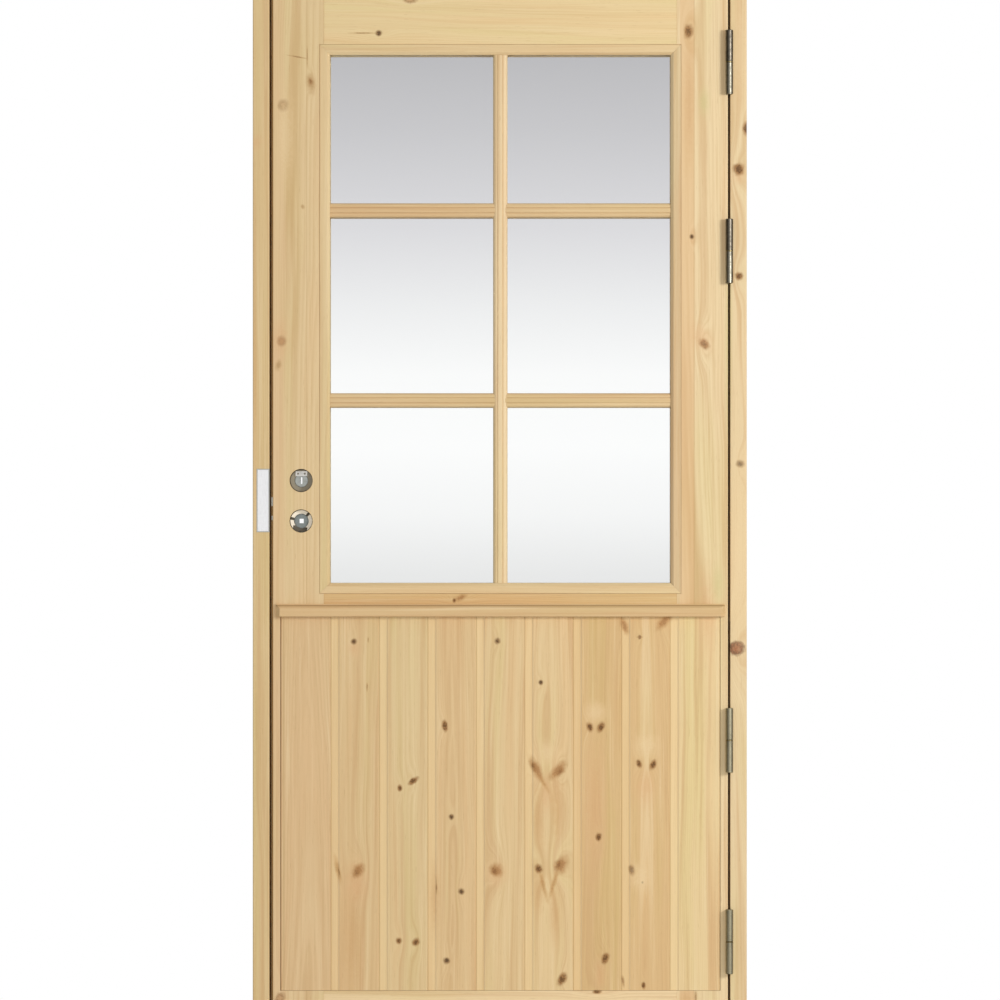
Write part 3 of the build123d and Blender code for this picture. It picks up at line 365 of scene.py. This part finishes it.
def pine(name, low, high, settings):
    look = {**pineDefaults, **settings}
    material, graph, place = startMaterial(name)
    scaled = graph.add("ShaderNodeVectorMath", {0: place, "Scale": millimetres}, operation="SCALE")
    axes = graph.add("ShaderNodeSeparateXYZ", {0: scaled.outputs[0]}).outputs
    x, depth, z = axes[0], axes[1], axes[2]
    across, along = (x, z) if look["grain"] == "upright" else (z, x)

    def nearestEdge(axis, start, end):
        after = graph.calc("SUBTRACT", axis, start * millimetres)
        before = graph.calc("SUBTRACT", end * millimetres, axis)
        return graph.calc("MINIMUM", after, before)

    if look["turn"] == "mitred":
        sides = nearestEdge(x, low.x, high.x)
        ends = nearestEdge(z, low.z, high.z)
        level = graph.calc("LESS_THAN", ends, sides)
    elif look["turn"]:
        centre = (low.x + high.x) / 2 * millimetres
        away = graph.calc("ABSOLUTE", graph.calc("SUBTRACT", x, centre))
        level = graph.calc("GREATER_THAN", away, look["turn"])
    if look["turn"]:
        swing = graph.calc("MULTIPLY", level, graph.calc("SUBTRACT", z, x))
        across = graph.calc("ADD", x, swing)
        along = graph.calc("SUBTRACT", z, swing)
    seed = look["seed"] * seedStep
    shift = seed
    if look["pitch"]:
        start, pitch = look["pitch"]
        count = graph.calc("FLOOR", graph.calc("DIVIDE", graph.calc("SUBTRACT", across, start), pitch))
        shift = graph.calc("ADD", graph.calc("MULTIPLY", count, boardStep), seed)
    far = graph.calc("ADD", along, graph.calc("MULTIPLY", shift, alongStep))

    def grainNoise(name, base=across):
        factors, detail, roughness = grainNoises[name]
        spread = [graph.calc("MULTIPLY", axis, factor) for axis, factor in zip((base, depth, far), factors)]
        return graph.noise(graph.point(*spread), detail=detail, roughness=roughness)

    push = 0.0
    found = spotsOn(low, high) if look["spots"] else []
    for kind, spotX, spotZ, radius, ratio, lean in found:
        if kind in pushing:
            knot = (spotX, spotZ) if look["grain"] == "upright" else (spotZ, spotX)
            push = graph.group(pushGroup, {
                "Across": across, "Along": along, "Knot Across": knot[0], "Knot Along": knot[1],
                "Radius": radius, "Push": push,
            })

    heartAcross, heartDepth = look["heart"]
    slow = graph.calc("SUBTRACT", grainNoise("slow"), 0.5)
    wander = graph.calc("MULTIPLY", slow, look["wander"] * 4)
    offset = graph.calc("MULTIPLY", graph.calc("SINE", shift), boardOffset)
    side = graph.total(across, -heartAcross, wander, offset if look["pitch"] else 0.0)
    deep = graph.calc("ADD", depth, heartDepth)
    radial = graph.calc("SQRT", graph.total(
        graph.calc("MULTIPLY", side, side), graph.calc("MULTIPLY", deep, deep)
    ))
    radial = graph.total(radial, push, graph.calc("MULTIPLY", far, look["taper"]))
    pace = graph.calc("MULTIPLY", radial, ringShape["paceScale"])
    pace = graph.noise(graph.point(pace, seed, 0.0), detail=1.0)
    pace = graph.calc("MULTIPLY", pace, ringShape["pace"])
    rings = graph.calc("ADD", graph.calc("DIVIDE", radial, look["spacing"]), pace)
    ring = graph.calc("FRACT", rings)
    rise = graph.smooth(ring, *ringShape["rise"])
    summer = graph.calc("MULTIPLY", rise, graph.smooth(ring, *ringShape["fall"]))

    # Some rings are plain to see and some fade out along the board
    vary = grainNoise("vary", radial)
    broken = grainNoise("broken")
    amount = graph.smooth(vary, 0.32, 0.68, look["contrast"] * 0.15, look["contrast"])
    amount = graph.calc("MULTIPLY", amount, graph.smooth(broken, 0.3, 0.62, 0.35, 1.0))
    colour = graph.mix(graph.calc("MULTIPLY", summer, amount), look["early"], look["late"])

    # Broad warm and pale streaks, a drift between pink and green, then fibres and resin ducts
    noises = {
        "broad": grainNoise("broad", radial), "middle": grainNoise("middle"),
        "drift": grainNoise("drift", graph.calc("ADD", radial, driftShift)),
        "fibre": grainNoise("fibre"), "ducts": grainNoise("ducts"),
    }
    for noise, start, full, share, tint in woodLayers:
        most = look["streaks"] if share == "streaks" else share
        cover = graph.smooth(noises[noise], start, full, 0.0, most)
        colour = graph.mix(cover, colour, look[tint], "MULTIPLY" if noise == "drift" else "MIX")

    # A spot tapers away at its depth in the wood
    def faceNoise(shape, detail):
        right = graph.calc("MULTIPLY", x, shape["across"])
        up = graph.calc("MULTIPLY", z, shape["along"])
        made = graph.calc("SUBTRACT", graph.noise(graph.point(right, 0.0, up), detail=detail), 0.5)
        return graph.calc("MULTIPLY", made, shape["amount"])

    rough = faceNoise(spotRough, 3.0)
    if look["knotDepth"]:
        start = low.y * millimetres + look["knotDepth"] * 0.4
        end = low.y * millimetres + look["knotDepth"]
        rough = graph.calc("ADD", rough, graph.smooth(depth, start, end, 0.0, 2.0))
    speck = faceNoise(spotSpeck, 1.0)
    # Bands lay stripes over the wood: some are wood tone, some painted shade or painted light
    for bandX, width, soft, strength, tint in look["bands"]:
        away = graph.calc("ABSOLUTE", graph.calc("SUBTRACT", across, bandX))
        cover = graph.smooth(away, width / 2 + soft, width / 2 - soft, 0.0, strength)
        colour = graph.mix(cover, colour, tint)
    for kind, spotX, spotZ, radius, ratio, lean in found:
        colour = graph.group(spotGroup, {
            "Colour": colour, "Middle": kinds[kind]["middle"], "Rim": kinds[kind]["rim"],
            "X": x, "Z": z, "Rough": rough, "Speck": speck, "Spot X": spotX, "Spot Z": spotZ,
            "Radius": radius, "Ratio": ratio, "Cosine": cos(radians(lean)), "Sine": sin(radians(lean)),
            "Soft": kinds[kind]["soft"], "Strength": kinds[kind]["strength"],
        })

    relief = graph.total(graph.calc("MULTIPLY", summer, 0.5), noises["fibre"])
    shader = graph.add("ShaderNodeBsdfPrincipled", {
        "Base Color": colour, "Roughness": woodGloss["roughness"],
        "Specular IOR Level": woodGloss["specular"],
        "Normal": graph.bump(relief, woodGloss["bump"], woodGloss["relief"]),
    })
    graph.add("ShaderNodeOutputMaterial", {"Surface": shader.outputs[0]})
    return material


# Brush lines lie along one axis: few cycles a metre along it and many across it
brush = {"x": (60.0, 4000.0, 4000.0), "y": (4000.0, 60.0, 4000.0), "z": (4000.0, 4000.0, 60.0)}


# Metals: brushed or cast, with faint stains and scratches
def metal(name, colour, roughness, along="z", stain=None, stainAmount=0.3, metallic=1.0):
    material, graph, place = startMaterial(name)
    axes = graph.add("ShaderNodeSeparateXYZ", {0: place}).outputs
    stretched = [graph.calc("MULTIPLY", axis, factor) for axis, factor in zip(axes, brush[along])]
    hair = graph.noise(graph.point(*stretched), detail=3.0)
    cloud = graph.noise(place, scale=160.0, detail=4.0, roughness=0.65)
    base = graph.mix(graph.smooth(cloud, 0.4, 0.7, 0.0, stainAmount), colour, stain or colour)
    base = graph.mix(graph.smooth(hair, 0.45, 0.75, 0.0, 0.25), base, (0.1, 0.1, 0.1, 1.0))
    polish = graph.smooth(cloud, 0.3, 0.7, roughness * 0.85, roughness * 1.2)
    shader = graph.add("ShaderNodeBsdfPrincipled", {
        "Base Color": base, "Metallic": metallic, "Roughness": polish,
        "Normal": graph.bump(hair, 0.2, 0.00005),
    })
    graph.add("ShaderNodeOutputMaterial", {"Surface": shader.outputs[0]})
    return material


# Plastics, rubber and foam: one colour with a fine mottled surface
def moulded(name, colour, roughness, mottle, size, relief):
    material, graph, place = startMaterial(name)
    grain = graph.noise(place, scale=size, detail=3.0, roughness=0.6)
    darker = (colour[0] * mottle, colour[1] * mottle, colour[2] * mottle, 1.0)
    shader = graph.add("ShaderNodeBsdfPrincipled", {
        "Base Color": graph.mix(graph.smooth(grain, 0.35, 0.7), colour, darker),
        "Roughness": roughness,
        "Normal": graph.bump(grain, 0.4, relief),
    })
    graph.add("ShaderNodeOutputMaterial", {"Surface": shader.outputs[0]})
    return material


# Clear float glass that lets light through to the wood behind it
def clearGlass(name):
    material, graph, place = startMaterial(name)
    ripple = graph.noise(place, scale=3.0, detail=1.0)
    glass = graph.add("ShaderNodeBsdfPrincipled", {
        "Base Color": (0.985, 0.99, 0.988, 1.0), "Roughness": 0.0, "IOR": 1.45,
        "Transmission Weight": 1.0, "Normal": graph.bump(ripple, 0.05, 0.0005),
    })
    clear = graph.add("ShaderNodeBsdfTransparent", {"Color": (0.97, 0.98, 0.975, 1.0)})
    path = graph.add("ShaderNodeLightPath").outputs
    passing = graph.calc("MAXIMUM", path["Is Shadow Ray"], path["Is Diffuse Ray"])
    mixed = graph.add("ShaderNodeMixShader", {0: passing, 1: glass.outputs[0], 2: clear.outputs[0]})
    graph.add("ShaderNodeOutputMaterial", {"Surface": mixed.outputs[0]})
    return material


def dress(node, material):
    mesh = nodes[node].data
    for index in range(len(mesh.materials)):
        mesh.materials[index] = material
    if not mesh.materials:
        mesh.materials.append(material)


# Each wooden node's own board, cut from its own place in a tree. A band is a stripe along the grain, of
# wood tone, painted shade or painted light:
# where, width, softness, strength and tone
woods = {
    "lock_jamb": {
        "heart": (-520.0, 90.0), "seed": 1.3, "early": tone(220, 192, 142), "late": tone(202, 166, 108),
        "knotDepth": 40.0,
    },
    "hinge_jamb": {
        "heart": (360.0, 120.0), "seed": 2.1, "early": tone(228, 204, 160), "late": tone(210, 178, 127),
        "knotDepth": 40.0,
    },
    "frame_head": {"grain": "level", "heart": (2160.0, 70.0), "seed": 3.2},
    "threshold": {
        "grain": "level", "heart": (-80.0, 60.0), "seed": 4.4, "spots": False,
        "early": tone(206, 170, 118), "late": tone(160, 116, 70), "streak": tone(176, 132, 84),
    },
    "frame_stops": {
        "heart": (700.0, 50.0), "seed": 5.7, "spots": False, "spacing": 2.4, "turn": "mitred",
    },
    "lock_stile": {
        "heart": (-300.0, 150.0), "seed": 6.2, "early": tone(227, 200, 154), "taper": 0.008,
        "bands": (
            (-399.0, 22.0, 5.0, 0.35, tone(222, 182, 140)),
            (-347.6, 1.0, 0.5, 0.5, tone(186, 148, 96)),
        ),
    },
    "hinge_stile": {
        "heart": (300.0, 160.0), "seed": 7.9, "early": tone(232, 208, 164), "taper": 0.008,
        "bands": (
            (337.2, 25.0, 1.4, 0.5, tone(220, 178, 128)),
            (350.0, 1.2, 0.6, 0.6, tone(190, 144, 92)),
            (384.0, 0.8, 0.5, 0.4, tone(200, 160, 108)),
        ),
    },
    "top_rail": {
        "grain": "level", "heart": (1830.0, 46.0), "seed": 8.1, "taper": 0.03, "streaks": 0.5,
        "early": tone(231, 206, 156), "late": tone(212, 180, 126), "streak": tone(218, 186, 134),
    },
    "middle_rail": {
        "grain": "level", "heart": (790.0, 60.0), "seed": 9.6, "early": tone(218, 184, 130),
        "late": tone(196, 152, 96),
    },
    "bottom_rail": {
        "grain": "level", "heart": (60.0, 70.0), "seed": 10.4, "early": tone(236, 210, 166),
        "late": tone(214, 182, 132), "streaks": 0.45,
    },
    "inner_boards": {
        "heart": (0.0, 40.0), "seed": 11.5, "spots": False, "pitch": (-391.0, 87.3), "taper": 0.03,
    },
    "outer_cover_strip": {
        "grain": "level", "heart": (900.0, 80.0), "seed": 12.2, "spacing": 2.2, "spots": False,
        # The dark band near the strip's top is painted shade, as of a quirk that the strip's shape lacks
        "early": tone(218, 186, 138), "bands": ((854.6, 1.8, 0.7, 0.75, tone(142, 104, 58)),),
    },
    "inner_cover_strip": {
        "grain": "level", "heart": (900.0, 90.0), "seed": 13.2, "spacing": 2.2, "spots": False,
    },
    "outer_bead_top": {
        "grain": "level", "heart": (1920.0, 70.0), "seed": 14.2, "spacing": 2.0, "spots": False,
    },
    "outer_bead_bottom": {
        "grain": "level", "heart": (830.0, 70.0), "seed": 15.2, "spacing": 2.0, "spots": False,
    },
    "outer_bead_left": {"heart": (-260.0, 70.0), "seed": 16.2, "spacing": 2.0, "spots": False},
    "outer_bead_right": {
        "heart": (390.0, 70.0), "seed": 17.2, "spacing": 2.0, "spots": False, "early": tone(214, 189, 147),
    },
    "inner_beads": {
        "heart": (700.0, 70.0), "seed": 18.2, "spacing": 2.0, "spots": False, "turn": "mitred",
    },
    "outer_upright_bar": {
        "heart": (60.0, 80.0), "seed": 19.2, "spacing": 2.0, "spots": False,
        "early": tone(234, 209, 166), "late": tone(216, 184, 136),
    },
    "outer_cross_bars": {
        "grain": "level", "heart": (1500.0, 80.0), "seed": 20.2, "spacing": 2.4, "spots": False,
        "early": tone(220, 191, 145), "late": tone(204, 163, 110),
    },
    "inner_bars": {"heart": (60.0, 80.0), "seed": 21.2, "spacing": 2.0, "spots": False, "turn": 13.0},
    "rail_dowels": {
        "grain": "level", "heart": (60.0, 80.0), "seed": 22.2, "spots": False,
        "early": tone(214, 182, 140), "late": tone(190, 150, 104),
    },
}
# Heart line, ring spacing, taper, early and late tone of each outer board, from the lock side
boards = [
    ((-345.0, 26.0), 4.6, 0.034, tone(222, 190, 144), tone(200, 164, 114)),
    ((-200.0, 70.0), 4.0, 0.016, tone(220, 190, 142), tone(203, 168, 116)),
    ((-100.0, 90.0), 4.2, 0.012, tone(222, 196, 148), tone(206, 172, 120)),
    ((-86.0, 44.0), 3.6, 0.020, tone(222, 192, 144), tone(200, 160, 108)),
    ((60.0, 60.0), 4.4, 0.020, tone(224, 196, 148), tone(204, 168, 116)),
    ((88.0, 36.0), 4.2, 0.030, tone(226, 198, 150), tone(204, 166, 112)),
    ((230.0, 60.0), 3.6, 0.014, tone(216, 183, 131), tone(198, 158, 102)),
    ((262.0, 40.0), 3.8, 0.024, tone(219, 185, 134), tone(202, 162, 110)),
    ((460.0, 70.0), 3.4, 0.010, tone(230, 204, 154), tone(212, 178, 124)),
]
# The first board has painted shade along its rounded left edge; each other board begins with the sunk strip
# at its seam, a little paler than the board, with painted shade along the seam and painted light on the
# slope
boardLook = {"firstSeed": 32.7, "seedStep": 2.7, "contrast": 0.38, "firstContrast": 0.55}
# Painted shade along the first board's rounded left edge
firstEdgePaintedShade = ((-389.3, 3.4, 1.6, 0.45, tone(190, 158, 108)),)
sunkStrip = {"firstSeam": -391.85, "pitch": 87.3, "width": 13.5, "slope": 2.2}
for index, (heart, spacing, taper, early, late) in enumerate(boards):
    seam = sunkStrip["firstSeam"] + index * sunkStrip["pitch"]
    outer = seam + sunkStrip["width"]
    bands = (
        ((seam + outer) / 2, sunkStrip["width"] - 2.0, 1.2, 0.5, tone(236, 207, 155)),
        # painted shade along the seam
        (seam + 0.8, 1.2, 0.8, 0.5, tone(176, 144, 92)),
        # painted light on the strip's slope, lifting its shade
        (outer + sunkStrip["slope"] / 2, sunkStrip["slope"], 0.6, 0.7, tone(244, 218, 170)),
    )
    woods[f"outer_board_{index + 1}"] = {
        "heart": heart, "spacing": spacing, "taper": taper, "early": early, "late": late,
        "seed": boardLook["firstSeed"] + boardLook["seedStep"] * index,
        "bands": bands if index else firstEdgePaintedShade,
        "contrast": boardLook["contrast"] if index else boardLook["firstContrast"],
    }

for node, settings in woods.items():
    low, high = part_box(node)
    dress(node, pine(f"pine_{node}", low, high, settings))
print("stage: wood dressed")

# Metals: base colour, stain, roughness and the way they are brushed
metals = {
    # The three hinge steels are copies of one zinc-plated steel whose base colours are painted reflection:
    # darkest for the upper leaf halves, brighter for the upper frame halves, flat for the lower hinges
    "hinge_steel": {
        "colour": (0.19, 0.165, 0.13, 1.0), "stain": (0.09, 0.08, 0.06, 1.0), "stainAmount": 0.7,
        "roughness": 0.42,
    },
    "bright_steel": {
        "colour": (0.31, 0.285, 0.225, 1.0), "stain": (0.15, 0.14, 0.1, 1.0), "stainAmount": 0.6,
        "roughness": 0.42,
    },
    "dull_steel": {
        "colour": (0.39, 0.355, 0.245, 1.0), "stain": (0.28, 0.25, 0.17, 1.0), "roughness": 0.48,
    },
    "screw_steel": {
        "colour": (0.55, 0.53, 0.45, 1.0), "stain": (0.4, 0.36, 0.28, 1.0), "roughness": 0.34,
    },
    "forend_steel": {
        "colour": (0.78, 0.75, 0.68, 1.0), "stain": (0.6, 0.56, 0.5, 1.0), "roughness": 0.3,
    },
    "case_steel": {
        "colour": (0.2, 0.185, 0.15, 1.0), "stain": (0.1, 0.09, 0.07, 1.0), "roughness": 0.5,
        "along": "x",
    },
    "plate_steel": {
        "colour": (0.76, 0.74, 0.7, 1.0), "stain": (0.6, 0.6, 0.58, 1.0), "roughness": 0.34,
        "along": "x",
    },
    "bolt_steel": {
        "colour": (0.95, 0.92, 0.83, 1.0), "metallic": 0.15, "roughness": 0.36, "along": "x",
    },
    "hub_steel": {
        "colour": (0.29, 0.32, 0.31, 1.0), "stain": (0.17, 0.19, 0.19, 1.0), "roughness": 0.36,
        "along": "x",
    },
    "plug_steel": {
        "colour": (0.47, 0.49, 0.46, 1.0), "stain": (0.34, 0.35, 0.36, 1.0), "roughness": 0.36,
        "along": "x",
    },
    "washer_brass": {"colour": (0.3, 0.24, 0.12, 1.0), "roughness": 0.4, "along": "x"},
    "spacer_metal": {"colour": (0.5, 0.49, 0.44, 1.0), "roughness": 0.5, "along": "x"},
}
# Plastics, rubber and foam: colour, roughness, how dark the mottling is, its size and its relief
plastics = {
    "block_plastic": (tone(120, 126, 130), 0.5, 0.9, 700.0, 0.00005),
    # The weather strip's warm pale tone is painted light: it stands in for the warm light seen deep in the
    # gaps
    "seal_rubber": (tone(232, 176, 100), 0.6, 0.9, 1200.0, 0.0001),
    "tape_rubber": (tone(196, 190, 170), 0.6, 0.95, 1200.0, 0.00005),
    "core_foam": (tone(240, 238, 228), 0.85, 0.93, 400.0, 0.0004),
}


# The strike plate is bright and satin, with painted shade along its thin edges
strikeLook = {
    "steel": {
        "colour": (0.93, 0.93, 0.94, 1.0), "stain": (0.9, 0.87, 0.9, 1.0), "metallic": 0.2,
        "roughness": 0.5,
    },
    "edge": (0.33, 0.32, 0.27, 1.0), "edgeStart": 0.0026, "edgeEnd": 0.001, "edgeAmount": 0.75,
}


def strikeSteelAndPaintedEdgeShade():
    low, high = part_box("strike_plate")
    material = metal("strike_steel", **strikeLook["steel"])
    graph, shader, plain, axes = reopenMaterial(material)
    gaps = [
        graph.calc("SUBTRACT", axes[2], low.z), graph.calc("SUBTRACT", high.z, axes[2]),
        graph.calc("SUBTRACT", axes[0], low.x), graph.calc("SUBTRACT", high.x, axes[0]),
    ]
    nearest = graph.calc("MINIMUM", gaps[0], gaps[1])
    nearest = graph.calc("MINIMUM", nearest, graph.calc("MINIMUM", gaps[2], gaps[3]))
    # Painted shade along the plate's thin edges
    edge = graph.smooth(
        nearest, strikeLook["edgeStart"], strikeLook["edgeEnd"], 0.0, strikeLook["edgeAmount"]
    )
    graph.tree.links.new(graph.mix(edge, plain, strikeLook["edge"]), shader.inputs["Base Color"])
    return material


# The handle's collars are pale plastic; the cylinder's collars are the same plastic painted dark, as
# painted shade of their deep hole
guideLook = {"pale": (tone(252, 246, 230), 0.4, 0.94, 900.0, 0.00005), "dark": (0.3, 0.275, 0.21, 1.0)}


def guidePlasticAndPaintedShade():
    low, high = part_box("case_guides")
    material = moulded("case_guides", *guideLook["pale"])
    graph, shader, plain, axes = reopenMaterial(material)
    # The upper half, the cylinder's collars, gets painted shade
    upper = graph.calc("GREATER_THAN", axes[2], (low.z + high.z) / 2)
    colour = graph.mix(upper, plain, guideLook["dark"])
    graph.tree.links.new(colour, shader.inputs["Base Color"])
    return material


made = {name: metal(name, **settings) for name, settings in metals.items()}
made.update({name: moulded(name, *settings) for name, settings in plastics.items()})
made["clear_glass"] = clearGlass("clear_glass")
made["strike_steel"] = strikeSteelAndPaintedEdgeShade()
made["case_guides"] = guidePlasticAndPaintedShade()

finishes = {
    "frame_screws": "screw_steel", "leaf_screws": "screw_steel", "strike_plate": "strike_steel",
    "lock_forend": "forend_steel", "lock_case": "case_steel", "driver_plates": "plate_steel",
    "latch_bolt": "bolt_steel", "dead_bolt": "bolt_steel", "trigger_pin": "bolt_steel",
    "follower": "hub_steel", "bolt_driver": "plug_steel", "hinge_washers": "washer_brass",
    "hinge_pins": "bolt_steel", "glass_spacer": "spacer_metal", "case_guides": "case_guides",
    "setting_blocks": "block_plastic", "frame_seal": "seal_rubber", "glazing_tape": "tape_rubber",
    "insulation": "core_foam", "outer_pane": "clear_glass", "inner_pane": "clear_glass",
}
# The two lower hinges are duller than the two upper ones, whose leaf halves are the darkest; the three are
# copies of one steel whose base colours are painted reflection
for index in (1, 2):
    finishes[f"hinge_{index}_frame_half"] = "dull_steel"
    finishes[f"hinge_{index}_leaf_half"] = "dull_steel"
for index in (3, 4):
    finishes[f"hinge_{index}_frame_half"] = "bright_steel"
    finishes[f"hinge_{index}_leaf_half"] = "hinge_steel"
for node, finish in finishes.items():
    dress(node, made[finish])
bare = sorted(set(nodes) - set(woods) - set(finishes))
if bare:
    raise ValueError(f"nodes without a finish: {bare}")
print("stage: metal, plastic and glass dressed")


# Floor, light and camera
floorLook = {
    "half": 2.2, "front": -2.4, "back": 0.6,
    "paint": ((0.8, 0.8, 0.79, 1.0), 0.7, 0.98, 40.0, 0.0002),
}


def makeFloor():
    half, front, back = floorLook["half"], floorLook["front"], floorLook["back"]
    mesh = bpy.data.meshes.new("floor")
    corners = [(-half, front, 0), (half, front, 0), (half, back, 0), (-half, back, 0)]
    mesh.from_pydata(corners, [], [(0, 1, 2, 3)])
    floor = bpy.data.objects.new("floor", mesh)
    bpy.context.scene.collection.objects.link(floor)
    mesh.materials.append(moulded("floor_paint", *floorLook["paint"]))


# The panes show a sky that runs from grey at the top, over white, to a pale ground
worldLook = {
    "ambient": 0.4, "lowest": -1.5, "highest": 5.5,
    "sky": [
        (0.0, tone(228, 228, 228)), (0.09, tone(234, 234, 234)), (0.19, tone(248, 248, 248)),
        (0.3, tone(255, 255, 255)), (0.42, tone(253, 253, 253)), (0.53, tone(240, 240, 241)),
        (0.66, tone(221, 220, 223)), (0.82, tone(201, 200, 203)), (0.95, tone(187, 186, 189)),
    ],
    "flag": (0.04, 0.038, 0.03, 1.0), "front": (0.95, 0.95, 0.95, 1.0),
}


def makeWorld():
    world = bpy.data.worlds.new("studio")
    bpy.context.scene.world = world
    world.use_nodes = True
    tree = world.node_tree
    tree.nodes.clear()
    graph = Graph(tree)
    direction = graph.add("ShaderNodeTexCoord").outputs["Generated"]
    rise = graph.add("ShaderNodeSeparateXYZ", {0: direction}).outputs[2]
    lowest, highest = sin(radians(worldLook["lowest"])), sin(radians(worldLook["highest"]))
    share = graph.add(
        "ShaderNodeMapRange", {"Value": rise, "From Min": lowest, "From Max": highest}
    ).outputs[0]
    sky = graph.ramp(share, worldLook["sky"])
    # Metal sees a bright front with dark flags at both sides
    right = graph.add("ShaderNodeSeparateXYZ", {0: direction}).outputs[0]
    band = graph.calc("MULTIPLY", graph.smooth(right, -0.6, -0.15), graph.smooth(right, 0.85, 0.4))
    front = graph.mix(band, worldLook["flag"], worldLook["front"])
    path = graph.add("ShaderNodeLightPath").outputs
    ambient = worldLook["ambient"]
    studio = graph.mix(path["Is Camera Ray"], (ambient, ambient, ambient, 1.0), (1.0, 1.0, 1.0, 1.0))
    studio = graph.mix(path["Is Glossy Ray"], studio, front)
    colour = graph.mix(path["Is Transmission Ray"], studio, sky)
    ground = graph.add("ShaderNodeBackground", {"Color": colour, "Strength": 1.0})
    graph.add("ShaderNodeOutputWorld", {"Surface": ground.outputs[0]})


lamps = {
    "key": {"place": (3.0, -3.1, 1.9), "target": (0.2, 0.0, 1.2), "size": 0.8, "power": 88.0},
    "front": {"place": (-0.5, -9.6, 1.5), "target": (0.0, 0.0, 1.0), "size": 1.2, "power": 215.0},
}


def makeLight(name, place, target, size, power):
    light = bpy.data.lights.new(name, "AREA")
    light.shape = "SQUARE"
    light.size = size
    light.energy = power
    lamp = bpy.data.objects.new(name, light)
    lamp.location = place
    lamp.rotation_euler = (Vector(target) - Vector(place)).to_track_quat("-Z", "Y").to_euler()
    bpy.context.scene.collection.objects.link(lamp)
    return lamp


# The camera stands square to the leaf and sees 1.8 m of it across the picture
cameraLook = {"seenWidth": 1.8013, "distance": 9.0, "sensor": 36.0, "right": 0.0004, "up": 1.0449}


def makeCamera():
    distance = cameraLook["distance"]
    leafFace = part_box("lock_stile")[0].y
    camera = bpy.data.cameras.new("camera")
    camera.sensor_width = cameraLook["sensor"]
    camera.lens = camera.sensor_width * distance / cameraLook["seenWidth"]
    eye = bpy.data.objects.new("camera", camera)
    eye.location = (cameraLook["right"], leafFace - distance, cameraLook["up"])
    eye.rotation_euler = (pi / 2, 0, 0)
    bpy.context.scene.collection.objects.link(eye)
    bpy.context.scene.camera = eye


makeFloor()
makeWorld()
for name, settings in lamps.items():
    lamp = makeLight(name, **settings)
    lamp.visible_glossy = name == "key"
    lamp.visible_transmission = False
makeCamera()
bpy.context.scene.view_settings.view_transform = "Standard"
print("stage: floor, light and camera made")
